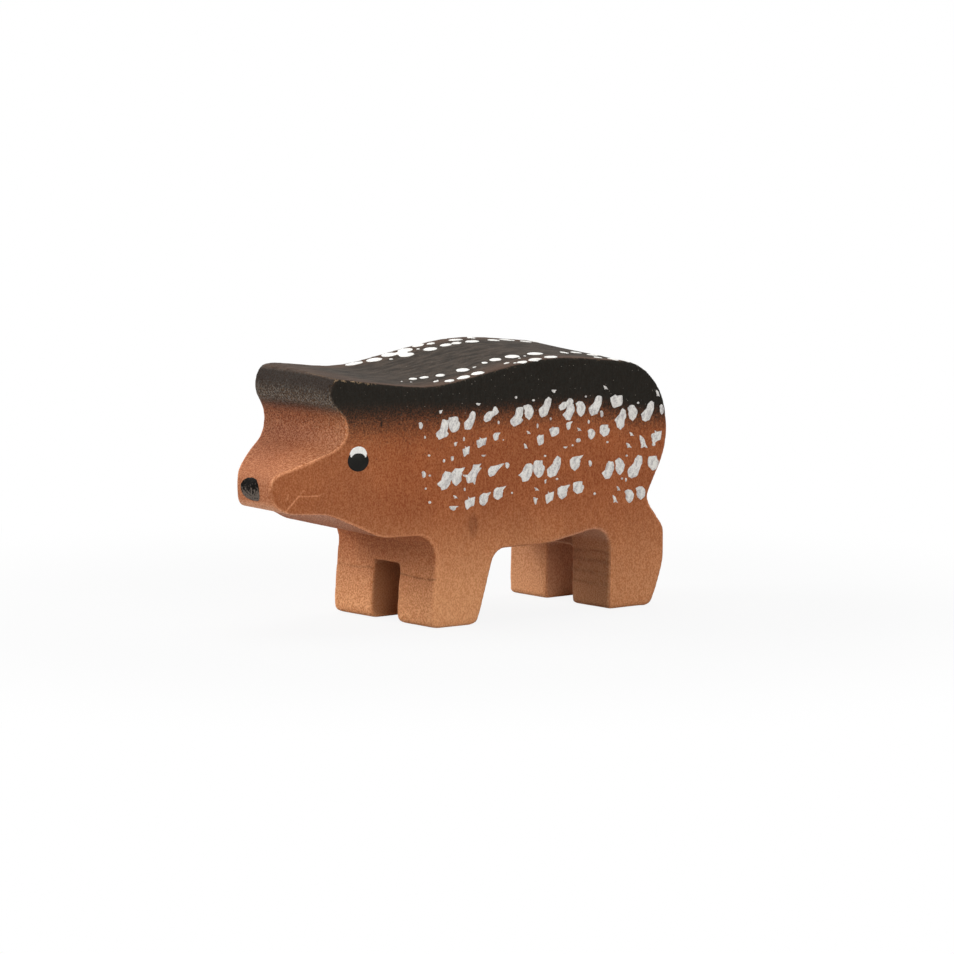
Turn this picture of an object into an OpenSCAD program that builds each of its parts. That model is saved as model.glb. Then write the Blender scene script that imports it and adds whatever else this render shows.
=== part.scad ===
// Wild-boar piglet figurine, sawn from one piece of board and marked with paint.
// Frame in millimetres: +X runs from the nose to the rump, +Y to the animal's right, +Z up.
// The origin lies on the floor, under the middle of the length and of the board.

/* [Board] */
// Thickness of the board that the animal is sawn from
board_t = 22; // [19:0.5:26]
// Length from the nose to the rump
body_l = 62.3; // [60:0.1:68]

/* [Back] */
// Height of the back line over the corner of the ears
poll_h = 35.4; // [35:0.1:36.5]
// Distance of the dip behind the ears from the nose
saddle_x = 21.6; // [20:0.1:24]
// Height at which the back lines meet in that dip
saddle_h = 32.9; // [32:0.1:34]
// Radius of that dip
saddle_r = 27; // [20:1:32]
// Distance of the croup, the top of the back, from the rump
croup_x = 20.6; // [19:0.1:23]
// Height at which the back lines meet over the croup
croup_h = 36.1; // [35.4:0.1:37.5]
// Radius of the croup
croup_r = 41; // [30:1:45]
// Height at which the back line meets the rump
rump_h = 33.7; // [33:0.1:34.5]
// Radius of the corner between the back and the rump
rump_r = 8.8; // [7:0.1:10]
// Lean of the saw cut along the back, in degrees, higher on the right
back_lean = 3; // [0:0.25:4]

/* [Rump and hind legs] */
// Height at which the rump begins to draw in
seat_h = 21.7; // [21:0.1:22.5]
// Height of the notch between the rump and the thigh
waist_h = 14.9; // [14.4:0.1:15.4]
// Depth of that notch before its corner is rounded
waist_d = 3.7; // [3:0.1:4.5]
// Height of the widest part of the thigh
thigh_h = 10.7; // [10.2:0.1:11.2]
// How far the thigh stays behind the rump
thigh_x = 0.5; // [0:0.1:1]
// Height of the hock, where the leg begins to draw in
hock_h = 6; // [5:0.1:7]
// Distance of the heel from the rump
heel_x = 2.7; // [2:0.1:3.4]
// Length of the hind foot along the floor
hind_foot_l = 7.6; // [6.5:0.1:9]

/* [Belly] */
// Height of the belly at the front legs
belly_h = 10; // [9.4:0.1:11]
// How far the belly has risen where it meets the hind legs
belly_rise = 1.8; // [1:0.1:2.4]
// Distance in front of the hind toes at which it begins to rise
belly_rise_x = 10.2; // [8:0.1:13]

/* [Front legs] */
// Distance of the front toes from the nose
toe_x = 21.4; // [20.5:0.1:22.5]
// How far the front edge of the front leg leans back to the throat
shin_lean = 1.2; // [0.8:0.1:1.6]
// Length of the front foot along the floor
fore_foot_l = 7.9; // [6.5:0.1:9]
// How far the back edge of the front leg leans out to the belly
elbow_lean = 3; // [2:0.1:4]

/* [Slot between the legs] */
// Width of the slot
slot_w = 5.6; // [4.5:0.1:8]
// Height of the slot above the floor
slot_h = 8; // [6:0.1:9]
// Radius of the two corners at the top of the slot
slot_r = 0.8; // [0.4:0.1:1.5]
// Turn of the slot from the length of the board, in degrees, to the right towards the rump
slot_turn = 0.75; // [0:0.25:2]
// How far the slot sits to the left of the middle of the board
slot_set = 0.2; // [0:0.1:0.5]

/* [Head] */
// Height of the throat
throat_h = 12.9; // [12.4:0.1:13.4]
// Distance of the back of the jaw from the nose
jaw_x = 13.3; // [12.5:0.1:14]
// Distance of the front of the jaw from the nose
chin_x = 6.3; // [5.6:0.1:7]
// Height of the underside of the snout
chin_h = 16.5; // [16:0.1:17]
// Lean of the saw cut under the jaw, in degrees, higher on the right
jaw_lean = 1.25; // [0:0.25:2.5]
// Radius of the chin
chin_r = 2.6; // [2:0.1:2.8]
// Height at which the front of the snout meets the forehead
snout_h = 21.4; // [21:0.1:22]
// Radius of the top of the snout
snout_r = 2.2; // [1.5:0.1:2.6]
// Distance of the fold below the ears from the nose
brow_x = 10.3; // [9.8:0.1:11]
// Height of the fold below the ears
brow_h = 26.6; // [26:0.1:27.2]
// Radius of that fold
brow_r = 3.2; // [2.6:0.1:3.4]
// Distance of the corner of the ears from the nose, before it is rounded
ear_x = 3.5; // [3:0.1:4]
// Height of that corner
ear_h = 35; // [34.4:0.1:35.3]
// Radius of the tips of the ears
ear_r = 2.6; // [2:0.1:2.8]
// Radius of the sanded cheeks in plan
cheek_r = 25; // [23:0.5:30]
// Distance of the centre of the cheek radius from the nose
cheek_x = 17.7; // [16:0.1:18.6]

/* [Eyes and nose] */
// Distance of the eyes from the nose
eye_x = 10; // [9.4:0.1:11]
// Height of the eyes
eye_h = 23.4; // [22:0.1:23.8]
// Radius of the black of an eye
eye_r = 1.4; // [1:0.05:1.5]
// Radius of the white spot behind it
eye_white_r = 1.15; // [0.9:0.05:1.25]
// How far the white spot sits above the black
eye_white_rise = 0.8; // [0.6:0.05:0.9]
// Width of the nose dot
nose_dot_w = 4.2; // [3:0.1:4.5]
// Height of the nose dot
nose_dot_l = 3; // [2.2:0.1:3.3]
// Height of the middle of the nose dot
nose_dot_h = 19.4; // [19:0.1:19.8]
// How far the nose dot sits to the right of the middle
nose_dot_shift = 0.8; // [0:0.1:1]

/* [Marks] */
// Thickness of the paint
paint_t = 0.12; // [0.08:0.01:0.3]
// Distance of the first flank dab from the nose
marks_x = 23.3; // [22:0.1:24.5]
// Height of the upper band of flank dabs
upper_band_h = 26.8; // [26:0.1:27.2]
// Height of the lower band of flank dabs
lower_band_h = 19.8; // [19:0.1:20.4]
// Width of a large dab
dab_w = 1.7; // [1.2:0.05:1.9]
// Length of a large dab
dab_l = 2.6; // [1.8:0.05:2.8]
// Size of a small dab
small_dab = 1.5; // [1:0.05:1.7]
// Distance of the outer row of back dots from the edge of the back
back_inset = 1.2; // [1:0.1:2]
// Distance between the two rows of back dots
back_row_gap = 3.4; // [2.8:0.1:5]
// Length of a back dot
back_dot_l = 2.1; // [1.4:0.1:2.4]
// Width of a back dot
back_dot_w = 1.8; // [0.8:0.1:2]
// Distance from one back dot to the next
back_pitch = 3; // [2.7:0.1:3.2]
// Number of back dots in a row
back_count = 10; // [6:1:10]

/* [Hidden] */

stain = "#97603f";
black = "#26231f";
white = "#e4dfda";

LEFT = -1;
RIGHT = 1;

// Cutting shapes reach this far past the wood.
past = 5;
// Largest turn from one facet of a rounded corner to the next.
arc_step = 6;

nose = -body_l / 2;
rump = body_l / 2;
side_y = board_t / 2;
fore_toe = nose + toe_x;
fore_heel = fore_toe + fore_foot_l;
hind_heel = rump - heel_x;
hind_toe = hind_heel - hind_foot_l;
poll = nose + ear_x;

// Radii of the small corners at the feet and of the blends between them.
toe_r = 1;
hind_toe_r = 0.5;
heel_r = 1.1;
throat_r = 3.3;
jaw_r = 6;
chin_blend_r = 4;
seat_r = 10;
waist_r = 2;
thigh_r = 2.4;
hock_r = 9;
flank_r = 2.8;
belly_r = 14;
elbow_r = 2.4;

// How far the front edge of the hind leg leans back to the belly.
stifle_lean = 0.45;
// How far the throat line climbs from the leg to the back of the jaw.
throat_climb = 0.25;
// How far the front of the leg leans back below the jaw, and how far the jaw cut begins ahead of it.
leg_front_lean = 0.55;
jaw_cut_lead = 0.75;
// Level run of the saw where it leaves the tips of the ears.
ear_exit = 12;
// The cut along the back leaves the rump a little off the upright.
rump_exit = [3, 0.85];
// Rounded cuts run out into a flat face at this angle.
run_out = 4;
// The chin is set back this far, so that its rounding runs out on the front of the snout.
chin_set = 0.2;

// Side view of the board between its back and its jaw, as corners [x, z, radius],
// from the front toes upwards.
side_corners = [
  [fore_toe, 0, toe_r],
  [fore_toe + leg_front_lean, belly_h, 0],
  [nose, belly_h, 0],
  [nose, snout_h, snout_r],
  [nose + brow_x, brow_h, brow_r],
  [poll, ear_h, ear_r],
  [poll + ear_exit, ear_h, 0],
  [poll + ear_exit, croup_h + past, 0],
  [rump, croup_h + past, 0],
  [rump, seat_h, seat_r],
  [rump - waist_d, waist_h, waist_r],
  [rump - thigh_x, thigh_h, thigh_r],
  [rump - thigh_x, hock_h, hock_r],
  [hind_heel, 0, heel_r],
  [hind_toe, 0, hind_toe_r],
  [hind_toe + stifle_lean, belly_h + belly_rise, flank_r],
  [hind_toe - belly_rise_x, belly_h, belly_r],
  [fore_heel + elbow_lean, belly_h, elbow_r],
  [fore_heel, 0, heel_r]
];

// The back line from ears to rump, closed below the floor.
back_corners = [
  [nose - past, -past, 0],
  [nose - past, poll_h, 0],
  [poll, poll_h, 0],
  [nose + saddle_x, saddle_h, saddle_r],
  [rump - croup_x, croup_h, croup_r],
  [rump - rump_exit[1], rump_h, rump_r],
  [rump + rump_exit[0], -past, 0]
];

// The wood that is cut away in front of the front legs and under the jaw.
jaw_corners = [
  [nose - past, -past, 0],
  [fore_toe - jaw_cut_lead, -past, 0],
  [fore_toe + shin_lean, throat_h, throat_r],
  [nose + jaw_x, throat_h + throat_climb, jaw_r],
  [nose + chin_x, chin_h, chin_blend_r],
  [nose + chin_set, chin_h, chin_r],
  [nose + chin_set - (snout_h - chin_h) * tan(run_out), snout_h, 0],
  [nose - past, snout_h, 0]
];

slot_corners = [
  [-slot_w / 2, -past, 0],
  [-slot_w / 2, slot_h, slot_r],
  [slot_w / 2, slot_h, slot_r],
  [slot_w / 2, -past, 0]
];

// Distance of the centre of the cheek radius from the middle of the board.
cheek_y = side_y - cheek_r * cos(run_out);

// One stamp is four large dabs over four small ones, as [x, z] from its first dab.
large_dabs = [[0, 0], [2, 0.5], [4.7, 0.7], [8.2, 0.9]];
small_dabs = [[1.5, -3.8], [3.9, -3.3], [6.3, -2.8], [9, -2.3]];
// Places of the stamps along a flank, as [x, z] from the first.
upper_stamps = [[0, 0], [12.6, 1], [21.5, 0.9], [30.4, -0.7]];
lower_stamps = [[0.2, 0], [14.4, 0.3], [28.5, -0.6]];
dab_tilt = -20;
dab_points = 14;

function unit(v) = v / norm(v);

function flat(p) = [p[0], p[1]];

// Shortest way round from one angle to another.
function turn(from, to) = (to - from) - 360 * floor((to - from + 180) / 360);

// The arc that rounds corner b between its neighbours a and c.
function rounded(a, b, c) =
  let (
    to_a = unit(flat(a) - flat(b)),
    to_c = unit(flat(c) - flat(b)),
    half = acos(to_a * to_c) / 2,
    centre = flat(b) + unit(to_a + to_c) * b[2] / sin(half),
    first = flat(b) + to_a * b[2] / tan(half) - centre,
    last = flat(b) + to_c * b[2] / tan(half) - centre,
    start = atan2(first[1], first[0]),
    sweep = turn(start, atan2(last[1], last[0])),
    steps = ceil(abs(sweep) / arc_step)
  )
  [for (i = [0:steps]) centre + b[2] * [cos(start + sweep * i / steps), sin(start + sweep * i / steps)]];

// A closed outline from corners given as [x, z, radius].
function outline(corners) =
  let (count = len(corners))
  [
    for (i = [0:count - 1])
      let (
        before = corners[(i + count - 1) % count],
        corner = corners[i],
        after = corners[(i + 1) % count]
      )
      for (p = corner[2] == 0 ? [flat(corner)] : rounded(before, corner, after)) p
  ];

// An uneven round blob, as a brush leaves it.
function blob(centre, width, length, tilt, seed) =
  [
    for (i = [0:dab_points - 1])
      let (
        angle = 360 * i / dab_points,
        reach = 1 + 0.1 * cos(2 * angle + 97 * seed) + 0.08 * cos(3 * angle + 151 * seed),
        across = width / 2 * reach * cos(angle),
        along = length / 2 * reach * sin(angle)
      )
      centre + [across * cos(tilt) - along * sin(tilt), across * sin(tilt) + along * cos(tilt)]
  ];

// Stands a drawing in x and z upright, with the middle of its thickness at the given y.
module upright(y, thick) {
  translate([0, y + thick / 2, 0])
    rotate([90, 0, 0])
      linear_extrude(thick)
        children();
}

// Runs a drawing in y and z along x.
module lengthwise(x, length) {
  translate([x, 0, 0])
    rotate([90, 0, 90])
      linear_extrude(length)
        children();
}

module under_jaw() {
  rotate([jaw_lean, 0, 0])
    upright(0, board_t + 4 * past)
      polygon(outline(jaw_corners));
}

// The board as it is sawn from the side, with the back still left high.
module sawn_board() {
  difference() {
    upright(0, board_t)
      polygon(outline(side_corners));
    under_jaw();
  }
}

module below_back() {
  rotate([back_lean, 0, 0])
    upright(0, board_t + 4 * past)
      polygon(outline(back_corners));
}

module cheek_round(side, radius) {
  translate([nose + cheek_x, side * cheek_y, 0])
    cylinder(h = croup_h + past, r = radius, $fn = 128);
}

module cheek_cut(side) {
  difference() {
    translate([nose - past, side > 0 ? 0 : -board_t, past])
      cube([cheek_x + past, board_t, croup_h]);
    cheek_round(side, cheek_r);
  }
}

module leg_slot() {
  translate([0, -slot_set, 0])
    rotate([0, 0, slot_turn])
      lengthwise(nose, body_l)
        polygon(outline(slot_corners));
}

module wooden_body() {
  color(stain)
    difference() {
      intersection() {
        sawn_board();
        below_back();
      }
      cheek_cut(LEFT);
      cheek_cut(RIGHT);
      leg_slot();
    }
}

module nose_dot() {
  color(black)
    difference() {
      intersection() {
        lengthwise(nose - past, 2 * past)
          polygon(blob([nose_dot_shift, nose_dot_h], nose_dot_w, nose_dot_l, 0, 2));
        translate([-paint_t, 0, 0])
          sawn_board();
      }
      sawn_board();
    }
}

// Paint on a cheek, in the shape of the drawing that is given.
module cheek_paint(side) {
  difference() {
    intersection() {
      upright(side * side_y / 2, side_y)
        children();
      cheek_round(side, cheek_r + paint_t);
    }
    cheek_round(side, cheek_r);
  }
}

module eye_black() {
  translate([nose + eye_x, eye_h])
    circle(r = eye_r, $fn = 48);
}

module eye_crescent() {
  difference() {
    translate([nose + eye_x, eye_h + eye_white_rise])
      circle(r = eye_white_r, $fn = 48);
    eye_black();
  }
}

module eye(side) {
  color(black)
    cheek_paint(side)
      eye_black();
}

module eye_white(side) {
  color(white)
    cheek_paint(side)
      eye_crescent();
}

// The flat side of the wood, under a back that leans up to the right.
module flank(side) {
  intersection() {
    polygon(outline(side_corners));
    translate([0, side * side_y * tan(back_lean)])
      polygon(outline(back_corners));
  }
}

// One row of dabs on a flank: the same dabs in every stamp, cut off at the edge of the wood.
module dab_row(side, band_h, stamps, dabs, width, length) {
  color(white)
    upright(side * (side_y + paint_t / 2), paint_t)
      intersection() {
        flank(side);
        for (s = [0:len(stamps) - 1], d = [0:len(dabs) - 1])
          polygon(blob([nose + marks_x, band_h] + stamps[s] + dabs[d], width, length, dab_tilt, 4 * s + d));
      }
}

module flank_dabs(side, row) {
  if (row == 1) dab_row(side, upper_band_h, upper_stamps, large_dabs, dab_w, dab_l);
  if (row == 2) dab_row(side, upper_band_h, upper_stamps, small_dabs, small_dab, small_dab);
  if (row == 3) dab_row(side, lower_band_h, lower_stamps, large_dabs, dab_w, dab_l);
  if (row == 4) dab_row(side, lower_band_h, lower_stamps, small_dabs, small_dab, small_dab);
}

// Where a dot of the back lies in plan: row 0 runs along the edge, row 1 further in.
function back_place(side, row, i) =
  [nose + marks_x + back_pitch * (i + row / 2), side * (side_y - back_inset - back_row_gap * row)];

// Two rows of dots along one edge of the back, laid on its curve.
module back_dots(side) {
  color(white)
    difference() {
      intersection() {
        for (i = [0:back_count - 1], row = [0, 1])
          translate([0, 0, saddle_h - past])
            linear_extrude(3 * past)
              polygon(blob(back_place(side, row, i), back_dot_l, back_dot_w, 0, i + row));
        translate([0, 0, paint_t])
          below_back();
      }
      below_back();
    }
}

wooden_body();
nose_dot();
eye(LEFT);  // eye_left
eye(RIGHT);  // eye_right
eye_white(LEFT);  // eye_white_left
eye_white(RIGHT);  // eye_white_right
flank_dabs(LEFT, 1);  // left_dab_row_1
flank_dabs(LEFT, 2);  // left_dab_row_2
flank_dabs(LEFT, 3);  // left_dab_row_3
flank_dabs(LEFT, 4);  // left_dab_row_4
flank_dabs(RIGHT, 1);  // right_dab_row_1
flank_dabs(RIGHT, 2);  // right_dab_row_2
flank_dabs(RIGHT, 3);  // right_dab_row_3
flank_dabs(RIGHT, 4);  // right_dab_row_4
back_dots(LEFT);  // back_dots_left
back_dots(RIGHT);  // back_dots_right
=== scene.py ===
"""A wild-boar piglet sawn from one board, stained, sprayed dark along the back and dabbed with white paint.

Lengths in the dataclasses are millimetres, which MM turns into metres, and angles are degrees.
The frame is that of the solids: +X from nose to rump, +Y to the animal's right, +Z up.
"""

from __future__ import annotations

import logging
import math
import random
from dataclasses import dataclass, field, replace
from enum import Enum
from typing import Any, Iterable, Sequence, Union

import bmesh
import bpy
from mathutils import Matrix, Vector, kdtree

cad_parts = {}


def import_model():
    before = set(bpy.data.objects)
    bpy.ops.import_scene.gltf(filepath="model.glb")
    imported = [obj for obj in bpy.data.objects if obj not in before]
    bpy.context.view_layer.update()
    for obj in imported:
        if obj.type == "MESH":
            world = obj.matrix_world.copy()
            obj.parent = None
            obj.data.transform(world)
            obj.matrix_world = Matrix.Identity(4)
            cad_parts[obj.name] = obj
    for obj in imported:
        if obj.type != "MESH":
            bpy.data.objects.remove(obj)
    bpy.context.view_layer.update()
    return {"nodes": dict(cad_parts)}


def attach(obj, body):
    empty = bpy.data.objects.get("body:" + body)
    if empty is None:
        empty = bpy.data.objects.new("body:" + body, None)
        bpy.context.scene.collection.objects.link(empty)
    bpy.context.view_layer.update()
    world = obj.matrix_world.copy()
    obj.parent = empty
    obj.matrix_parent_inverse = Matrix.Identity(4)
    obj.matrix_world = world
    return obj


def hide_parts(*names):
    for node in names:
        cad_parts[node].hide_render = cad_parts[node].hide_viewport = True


MM = 0.001
BODY = "root"
WEAR = "worn_edge"
LOG = logging.getLogger("piglet")

Colour = tuple[float, float, float]
Triple = tuple[float, float, float]
Point = tuple[float, float]
# Where a mask begins to rise and where it is full.
Span = tuple[float, float]
# The middle and the half sizes of a soft ellipsoid.
Blob = tuple[Triple, Triple]


def srgb(red: int, green: int, blue: int) -> Colour:
    """Turn a colour written in 0 to 255 into the linear values that shaders take."""
    def linear(byte: int) -> float:
        """Undo the display curve for one channel."""
        share = byte / 255
        return share / 12.92 if share <= 0.04045 else ((share + 0.055) / 1.055) ** 2.4
    return linear(red), linear(green), linear(blue)


WHITE: Colour = (1.0, 1.0, 1.0)


class Flank(Enum):
    """The two sides of the animal, each with the sign of its y."""

    LEFT = -1
    RIGHT = 1

    @property
    def word(self) -> str:
        """The side's name as the nodes spell it."""
        return self.name.lower()


class Facing(Enum):
    """The way a mark looks, with the axis along which it is laid on the wood."""

    SIDE = "use_project_y"
    TOP = "use_project_z"
    FRONT = "use_project_x"


# Shader sheets.

@dataclass(frozen=True)
class Noise:
    """Soft noise: how fine it is per millimetre, on all axes or on each one, and the span that shows."""

    per_mm: float | Triple
    detail: float = 2.0
    roughness: float = 0.5
    span: Span | None = None


class Signal:
    """A shader socket that takes part in Python arithmetic; each operator adds one Math node."""

    def __init__(self, sheet: "Sheet", socket: bpy.types.NodeSocket) -> None:
        """Wrap one output socket of a sheet."""
        self.sheet = sheet
        self.socket = socket

    def __add__(self, other: "Number") -> "Signal":
        """Sum."""
        return self.sheet.math("ADD", self, other)

    __radd__ = __add__

    def __sub__(self, other: "Number") -> "Signal":
        """Difference."""
        return self.sheet.math("SUBTRACT", self, other)

    def __rsub__(self, other: "Number") -> "Signal":
        """Difference, from the other side."""
        return self.sheet.math("SUBTRACT", other, self)

    def __neg__(self) -> "Signal":
        """Opposite."""
        return 0 - self

    def __mul__(self, other: "Number") -> "Signal":
        """Product."""
        return self.sheet.math("MULTIPLY", self, other)

    __rmul__ = __mul__

    def __truediv__(self, other: "Number") -> "Signal":
        """Quotient."""
        return self.sheet.math("DIVIDE", self, other)

    def __abs__(self) -> "Signal":
        """Size without its sign."""
        return self.sheet.math("ABSOLUTE", self)

    def ease(self, low: "Number", high: "Number") -> "Signal":
        """Rise smoothly from 0 at low to 1 at high."""
        inputs = {"Value": self, "From Min": low, "From Max": high}
        return self.sheet.out("ShaderNodeMapRange", {"interpolation_type": "SMOOTHSTEP"}, inputs)

    def fade(self, low: "Number", high: "Number") -> "Signal":
        """Fall smoothly from 1 at low to 0 at high."""
        return 1 - self.ease(low, high)

    def swing(self) -> "Signal":
        """A noise from 0 to 1, moved to swing about 0."""
        return self - 0.5


Number = Union[Signal, float]


class Sheet:
    """The node sheet of one material or world."""

    def __init__(self, tree: bpy.types.NodeTree) -> None:
        """Start from an empty sheet."""
        self.tree = tree
        tree.nodes.clear()

    def add(self, kind: str, settings: dict[str, Any] | None = None,
            inputs: dict[str | int, Any] | None = None) -> bpy.types.Node:
        """Add one node.

        Args:
            kind: the node's type name.
            settings: properties of the node, set before its sockets.
            inputs: socket name or number to a value, a colour or a signal.

        Returns:
            The new node.
        """
        node = self.tree.nodes.new(kind)
        for name, setting in (settings or {}).items():
            setattr(node, name, setting)
        for name, value in (inputs or {}).items():
            socket = node.inputs[name]
            if isinstance(value, Signal):
                self.tree.links.new(value.socket, socket)
            elif isinstance(value, tuple) and socket.type == "RGBA":
                socket.default_value = (*value, 1.0)
            else:
                socket.default_value = value
        return node

    def out(self, kind: str, settings: dict[str, Any] | None = None,
            inputs: dict[str | int, Any] | None = None, output: str | int = 0) -> Signal:
        """Add a node and return one of its outputs as a signal."""
        return Signal(self, self.add(kind, settings, inputs).outputs[output])

    def math(self, operation: str, *terms: Number) -> Signal:
        """Add a Math node on one or two terms."""
        return self.out("ShaderNodeMath", {"operation": operation}, dict(enumerate(terms)))

    def vector(self, operation: str, inputs: dict[str | int, Any], output: str | int = 0) -> Signal:
        """Add a Vector Math node."""
        return self.out("ShaderNodeVectorMath", {"operation": operation}, inputs, output)

    def mix(self, share: Number, first: Any, second: Any, blend: str = "MIX") -> Signal:
        """Blend two colours by a share from 0 to 1."""
        settings = {"data_type": "RGBA", "blend_type": blend}
        return self.out("ShaderNodeMix", settings, {0: share, 6: first, 7: second}, 2)

    def place(self) -> Signal:
        """The point on the object, in millimetres."""
        spot = self.out("ShaderNodeTexCoord", output="Object")
        return self.vector("SCALE", {0: spot, "Scale": 1 / MM})

    def stretch(self, spot: Signal, per_mm: Triple, shift: Triple = (0.0, 0.0, 0.0)) -> Signal:
        """Scale a point by its own factor on each axis."""
        return self.out("ShaderNodeMapping", None, {"Vector": spot, "Scale": per_mm, "Location": shift})

    def grain(self, spot: Signal, noise: Noise) -> Signal:
        """A noise from 0 to 1 at a point."""
        scale = noise.per_mm
        if isinstance(scale, tuple):
            spot, scale = self.stretch(spot, scale), 1.0
        inputs = {"Vector": spot, "Scale": scale, "Detail": noise.detail, "Roughness": noise.roughness}
        made = self.out("ShaderNodeTexNoise", None, inputs)
        return made.ease(*noise.span) if noise.span else made

    def axes(self, spot: Signal) -> tuple[Signal, Signal, Signal]:
        """The x, y and z of a vector."""
        node = self.add("ShaderNodeSeparateXYZ", None, {0: spot})
        return tuple(Signal(self, socket) for socket in node.outputs)

    def near(self, spot: Signal, centre: Triple, half: Triple, edge: Span = (0.35, 1.0)) -> Signal:
        """1 at a centre, falling to 0 on an ellipsoid of the given half sizes."""
        scale = tuple(1 / s for s in half)
        shift = tuple(-c / s for c, s in zip(centre, half))
        return self.vector("LENGTH", {0: self.stretch(spot, scale, shift)}, "Value").fade(*edge)

    def stroke(self, spot: Signal, start: Point, end: Point) -> Signal:
        """The distance from a straight stroke between two points of x and z, seen along y."""
        way = Vector((end[0] - start[0], 0.0, end[1] - start[1]))
        reach = self.stretch(spot, (1.0, 0.0, 1.0), (-start[0], 0.0, -start[1]))
        along = self.vector("DOT_PRODUCT", {0: reach, 1: tuple(way / way.length_squared)}, "Value")
        share = self.out("ShaderNodeClamp", None, {"Value": along})
        foot = self.vector("SCALE", {0: tuple(way), "Scale": share})
        return self.vector("DISTANCE", {0: reach, 1: foot}, "Value")

    def relief(self, height: Signal, depth: float) -> Signal:
        """A bumped normal from a height between 0 and 1 and a depth in millimetres."""
        return self.out("ShaderNodeBump", None, {"Height": height, "Distance": depth * MM, "Strength": 1.0})

    def surface(self, colour: Signal, rough: Signal, normal: Signal, gloss: float) -> None:
        """Close the sheet with a Principled surface."""
        inputs = {"Base Color": colour, "Roughness": rough, "Normal": normal, "Specular IOR Level": gloss}
        shader = self.out("ShaderNodeBsdfPrincipled", None, inputs)
        self.add("ShaderNodeOutputMaterial", None, {"Surface": shader})


# The finish of the wood.

class Tone(Enum):
    """The colours of the stain, of the spray and of what shows where they are rubbed, and of painted light
    and shade.
    """

    STAIN = srgb(163, 93, 55)
    STAIN_DEEP = srgb(152, 86, 51)
    # Paler stain at the feet and the cheeks; also a painted highlight on the left of the forehead and of the
    # left fore leg.
    FOOT = srgb(222, 157, 109)
    SNOUT = srgb(204, 138, 98)
    # Bare wood at worn edges and scratches; also painted light on the chin.
    BARE = srgb(233, 160, 114)
    # Painted light from the floor's bounce on faces that look down, and a pale tint in the slot's painted
    # shade.
    PAINTED_BOUNCE = srgb(210, 162, 134)
    # Saw lines and the smudge; also painted shade in the slot, on the hind legs and on the far side of the
    # forehead.
    SAW_LINE_AND_SHADE = srgb(84, 46, 27)
    SOOT = srgb(41, 37, 32)
    SOOT_DEEP = srgb(36, 33, 28)
    SOOT_WARM = srgb(44, 33, 28)
    # A painted sheen on the spray where it looks up.
    DUST = srgb(88, 77, 68)
    # A grey for the painted sheen low on the brow, for the painted shade on the hind legs and in the slot,
    # and for the forehead.
    HAZE = srgb(126, 113, 100)
    RUBBED = srgb(124, 90, 72)
    CHIP = srgb(196, 164, 126)
    SPECK = srgb(168, 160, 148)


class Read(Enum):
    """What a mask can follow at a point of the wood."""

    X = "millimetres towards the rump"
    Y = "millimetres to the right"
    Z = "millimetres up from the floor"
    ACROSS = "millimetres from the middle of the slot"
    OVER = "millimetres over the lower edge of the spray"
    UP = "how far the face looks up"
    CUT = "1 on sawn faces, 0 on the flat sides"
    FRONT = "1 on faces that look straight forwards"
    FORE = "1 on sawn faces that look forwards at all"
    WORN = "1 on a sawn edge, 0 out of its reach"
    PORE = "stipple of the grain"
    FIBRE = "upright grain"
    CLOUD = "broad clouds in the stain"
    FLUFF = "fine tufts"


X, Y, Z, ACROSS, OVER, UP, CUT, FRONT, FORE, WORN, PORE, FIBRE, CLOUD, FLUFF = Read


@dataclass(frozen=True)
class Rise:
    """A weight that goes from base to base + gain while what it follows goes from low to high.

    A span that is written from its higher end falls instead. Without a span the weight follows in proportion.
    """

    read: Read
    low: float | None = None
    high: float | None = None
    base: float = 0.0
    gain: float = 1.0


Rises = tuple[Rise, ...]
# The head and the fore legs, in front of the arch.
FORE_HALF = Rise(X, 4.0, 0.0)


@dataclass(frozen=True)
class Coat:
    """A colour laid over another one: how thick at most, and the rises that thin it."""

    tone: Tone
    share: float
    rises: Rises


@dataclass
class Ground:
    """The sheet of the wood's material, the point on the wood and what is read there."""

    sheet: Sheet
    spot: Signal
    reads: dict[Read, Signal]

    def at(self, *names: Read) -> tuple[Signal, ...]:
        """What is read, in the order of the names."""
        return tuple(self.reads[name] for name in names)

    def weight(self, *rises: Rise, share: Number = 1.0) -> Signal:
        """The product of some rises and a share."""
        for rise in rises:
            follows = self.reads[rise.read]
            if rise.low is not None:
                follows = follows.ease(rise.low, rise.high)
            share = share * (rise.base + follows * rise.gain)
        return share

    def coat(self, colour: Signal, *coats: Coat) -> Signal:
        """Lay coats on a colour, one after the other."""
        for coat in coats:
            colour = self.tint(colour, coat.tone, self.weight(*coat.rises, share=coat.share))
        return colour

    def tint(self, colour: Signal, tone: Tone, share: Number) -> Signal:
        """Blend a colour towards a tone."""
        return self.sheet.mix(share, colour, tone.value)

    def grain(self, noise: Noise) -> Signal:
        """A noise from 0 to 1 at the point."""
        return self.sheet.grain(self.spot, noise)

    def near(self, blob: Blob) -> Signal:
        """1 in the middle of a blob, 0 outside."""
        return self.sheet.near(self.spot, *blob)


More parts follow.
